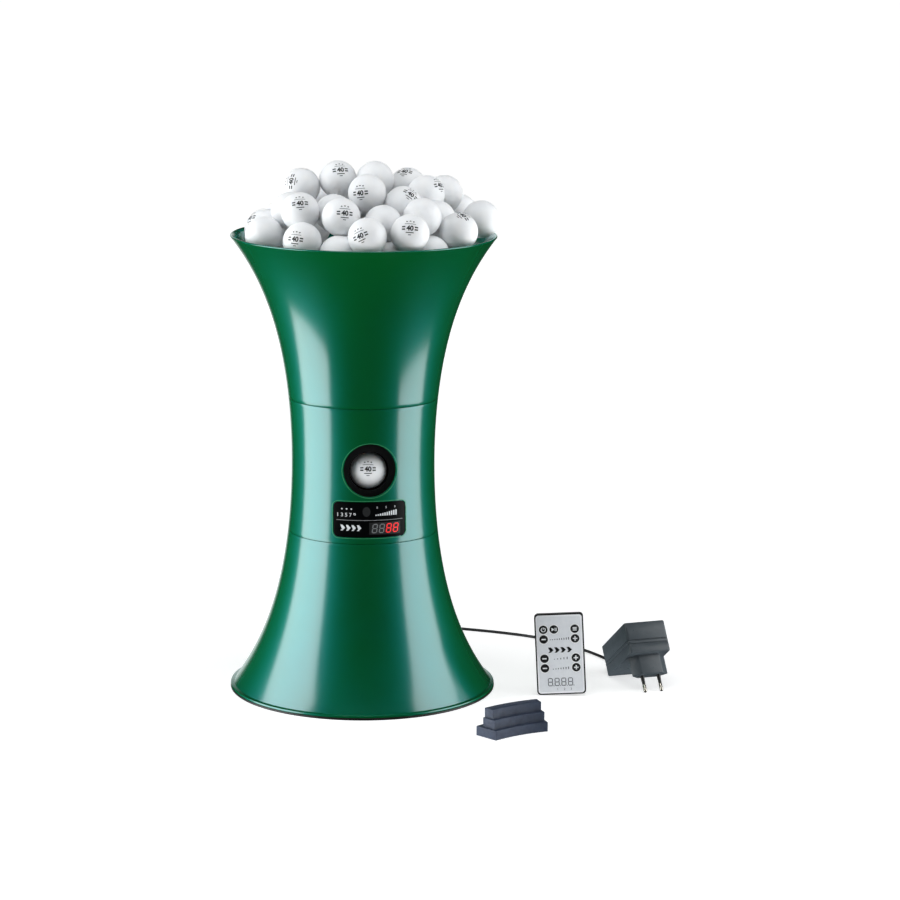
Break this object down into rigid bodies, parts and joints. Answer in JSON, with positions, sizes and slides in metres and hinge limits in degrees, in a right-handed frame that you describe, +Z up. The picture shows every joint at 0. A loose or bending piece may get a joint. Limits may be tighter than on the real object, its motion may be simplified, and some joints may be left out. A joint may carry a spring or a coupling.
{
  "type": "table tennis robot",
  "caption": "Hourglass-shaped table tennis ball thrower with a ball-filled hopper, waist outlet, display window, infrared handset, curved riser and mains adapter on a lead.",
  "frame": {"origin": "centre of the robot's foot, on the surface it stands on", "axes": "+Z up the hourglass body, -Y out of the ball outlet (front), +X to the side where the handset stands"},
  "size_m": [0.4735, 0.4703, 0.5678],
  "materials": {
    "green_shell": "satin-gloss moulded",
    "black_shell": "fine moulded texture",
    "foot_rubber": "matte",
    "window": "polished",
    "circuit": "solder-mask lacquer",
    "wheel_tyre": "matte foam rubber",
    "wheel_hub": "moulded",
    "metal": "zinc-plated",
    "nickel": "nickel-plated",
    "ball": "fine matte",
    "overlay": "satin printed film",
    "keys": "matte",
    "riser": "matte",
    "cord": "satin sheath"
  },
  "bodies": {
    "robot": {"base_plate": "black_shell", "foot_ring": "foot_rubber", "base_shell": "green_shell", "power_board": "circuit", "dc_socket": "black_shell", "chassis_plate": "black_shell", "mid_housing": "green_shell", "display_window": "window", "display_board": "circuit", "outlet_barrel": "black_shell", "throw_frame": "black_shell", "upper_motor": "metal", "lower_motor": "metal", "ball_chute": "black_shell", "feed_deck": "black_shell", "feed_motor": "metal", "hopper_shell": "green_shell", "outlet_ball": "ball", "heap_balls_1": "ball", "heap_balls_2": "ball", "heap_balls_3": "ball", "heap_balls_4": "ball", "heap_balls_5": "ball", "heap_balls_6": "ball", "heap_balls_7": "ball", "handset_case": "black_shell", "handset_face": "overlay", "handset_board": "circuit", "riser_block": "riser", "adapter_cover": "black_shell", "adapter_back": "black_shell", "adapter_pin_left": "nickel", "adapter_pin_right": "nickel", "adapter_relief": "cord", "dc_plug": "cord", "cord_to_coil": "cord", "cord_coil": "cord", "cord_to_adapter": "cord"},
    "feed_rotor": {"feed_disc": "black_shell", "feed_shaft": "metal"},
    "upper_wheel": {"upper_wheel_tyre": "wheel_tyre", "upper_wheel_hub": "wheel_hub", "upper_wheel_shaft": "metal"},
    "lower_wheel": {"lower_wheel_tyre": "wheel_tyre", "lower_wheel_hub": "wheel_hub", "lower_wheel_shaft": "metal"},
    "key_1": {"handset_key_1": "keys"},
    "key_2": {"handset_key_2": "keys"},
    "key_3": {"handset_key_3": "keys"},
    "key_4": {"handset_key_4": "keys"},
    "key_5": {"handset_key_5": "keys"},
    "key_6": {"handset_key_6": "keys"},
    "key_7": {"handset_key_7": "keys"},
    "key_8": {"handset_key_8": "keys"},
    "key_9": {"handset_key_9": "keys"},
    "cell_tray": {"battery_tray": "black_shell", "coin_cell": "nickel"}
  },
  "joints": [
    {"name": "feed_spin", "type": "hinge", "parent": "robot", "child": "feed_rotor", "pos_m": [0, 0, 0.36], "axis": [0, 0, 1], "continuous": true},
    {"name": "upper_wheel_spin", "type": "hinge", "parent": "robot", "child": "upper_wheel", "pos_m": [0, -0.005, 0.2906], "axis": [1, 0, 0], "continuous": true},
    {"name": "lower_wheel_spin", "type": "hinge", "parent": "robot", "child": "lower_wheel", "pos_m": [0, -0.005, 0.2066], "axis": [1, 0, 0], "continuous": true},
    {"name": "key_1_press", "type": "slide", "parent": "robot", "child": "key_1", "axis": [0.1734, 0.9833, -0.0558], "range_m": [0, 0.0003], "stiffness_N_per_m": 1000},
    {"name": "key_2_press", "type": "slide", "parent": "robot", "child": "key_2", "axis": [0.1734, 0.9833, -0.0558], "range_m": [0, 0.0003], "stiffness_N_per_m": 1000},
    {"name": "key_3_press", "type": "slide", "parent": "robot", "child": "key_3", "axis": [0.1734, 0.9833, -0.0558], "range_m": [0, 0.0003], "stiffness_N_per_m": 1000},
    {"name": "key_4_press", "type": "slide", "parent": "robot", "child": "key_4", "axis": [0.1734, 0.9833, -0.0558], "range_m": [0, 0.0003], "stiffness_N_per_m": 1000},
    {"name": "key_5_press", "type": "slide", "parent": "robot", "child": "key_5", "axis": [0.1734, 0.9833, -0.0558], "range_m": [0, 0.0003], "stiffness_N_per_m": 1000},
    {"name": "key_6_press", "type": "slide", "parent": "robot", "child": "key_6", "axis": [0.1734, 0.9833, -0.0558], "range_m": [0, 0.0003], "stiffness_N_per_m": 1000},
    {"name": "key_7_press", "type": "slide", "parent": "robot", "child": "key_7", "axis": [0.1734, 0.9833, -0.0558], "range_m": [0, 0.0003], "stiffness_N_per_m": 1000},
    {"name": "key_8_press", "type": "slide", "parent": "robot", "child": "key_8", "axis": [0.1734, 0.9833, -0.0558], "range_m": [0, 0.0003], "stiffness_N_per_m": 1000},
    {"name": "key_9_press", "type": "slide", "parent": "robot", "child": "key_9", "axis": [0.1734, 0.9833, -0.0558], "range_m": [0, 0.0003], "stiffness_N_per_m": 1000},
    {"name": "cell_tray_slide", "type": "slide", "parent": "robot", "child": "cell_tray", "axis": [0.9836, -0.1701, 0.0592], "range_m": [0, 0.022]}
  ]
}
